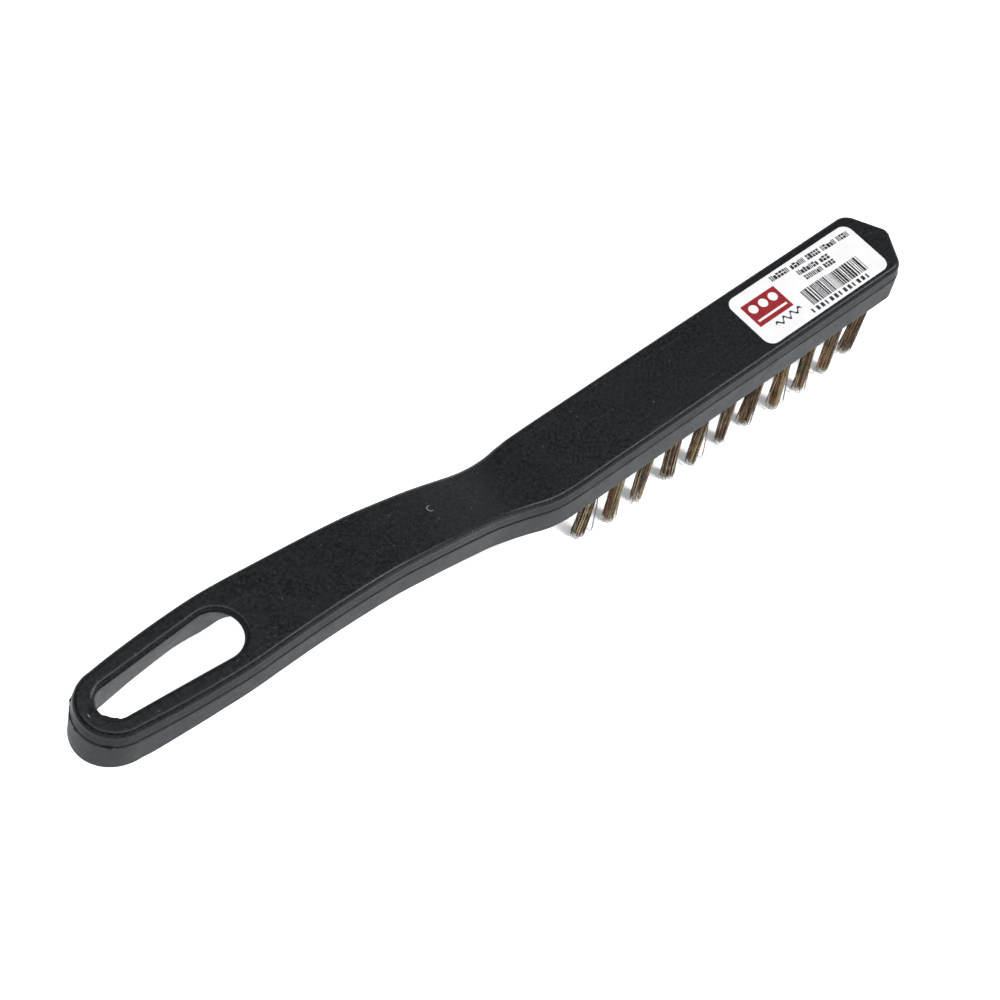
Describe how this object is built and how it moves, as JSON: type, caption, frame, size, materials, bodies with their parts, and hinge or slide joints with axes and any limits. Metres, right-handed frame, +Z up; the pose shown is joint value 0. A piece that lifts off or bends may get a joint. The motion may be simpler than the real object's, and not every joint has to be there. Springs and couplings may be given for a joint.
{
  "type": "wire brush",
  "caption": "Hand wire brush with a raised one-piece plastic grip, hanging slot, pointed head and rows of folded brass-coated wire tufts.",
  "frame": {"origin": "on the plane the wire tips stand on, under the middle of the brush's bounding box", "axes": "+X along the brush from the hanging end to the pointed nose, +Y to the left of the head as seen from the grip, +Z up from the wire tips to the flat top"},
  "size_m": [0.2806, 0.0246, 0.0641],
  "materials": {
    "black_polypropylene": "injection-moulded black, faintly mottled, satin",
    "paper_label": null,
    "brass_coated_wire": "brass-coated steel wire, slightly tarnished",
    "anchor_steel": "flat stamped anchor wire"
  },
  "bodies": {
    "root": {"handle": "black_polypropylene", "label": "paper_label", "tuft_near_01": "brass_coated_wire", "tuft_near_02": "brass_coated_wire", "tuft_near_03": "brass_coated_wire", "tuft_near_04": "brass_coated_wire", "tuft_near_05": "brass_coated_wire", "tuft_near_06": "brass_coated_wire", "tuft_near_07": "brass_coated_wire", "tuft_near_08": "brass_coated_wire", "tuft_near_09": "brass_coated_wire", "tuft_near_10": "brass_coated_wire", "tuft_near_11": "brass_coated_wire", "tuft_middle_01": "brass_coated_wire", "tuft_middle_02": "brass_coated_wire", "tuft_middle_03": "brass_coated_wire", "tuft_middle_04": "brass_coated_wire", "tuft_middle_05": "brass_coated_wire", "tuft_middle_06": "brass_coated_wire", "tuft_middle_07": "brass_coated_wire", "tuft_middle_08": "brass_coated_wire", "tuft_middle_09": "brass_coated_wire", "tuft_middle_10": "brass_coated_wire", "tuft_middle_11": "brass_coated_wire", "tuft_far_01": "brass_coated_wire", "tuft_far_02": "brass_coated_wire", "tuft_far_03": "brass_coated_wire", "tuft_far_04": "brass_coated_wire", "tuft_far_05": "brass_coated_wire", "tuft_far_06": "brass_coated_wire", "tuft_far_07": "brass_coated_wire", "tuft_far_08": "brass_coated_wire", "tuft_far_09": "brass_coated_wire", "tuft_far_10": "brass_coated_wire", "tuft_far_11": "brass_coated_wire", "anchor_near_01": "anchor_steel", "anchor_near_02": "anchor_steel", "anchor_near_03": "anchor_steel", "anchor_near_04": "anchor_steel", "anchor_near_05": "anchor_steel", "anchor_near_06": "anchor_steel", "anchor_near_07": "anchor_steel", "anchor_near_08": "anchor_steel", "anchor_near_09": "anchor_steel", "anchor_near_10": "anchor_steel", "anchor_near_11": "anchor_steel", "anchor_far_01": "anchor_steel", "anchor_far_02": "anchor_steel", "anchor_far_03": "anchor_steel", "anchor_far_04": "anchor_steel", "anchor_far_05": "anchor_steel", "anchor_far_06": "anchor_steel", "anchor_far_07": "anchor_steel", "anchor_far_08": "anchor_steel", "anchor_far_09": "anchor_steel", "anchor_far_10": "anchor_steel", "anchor_far_11": "anchor_steel"}
  },
  "joints": []
}
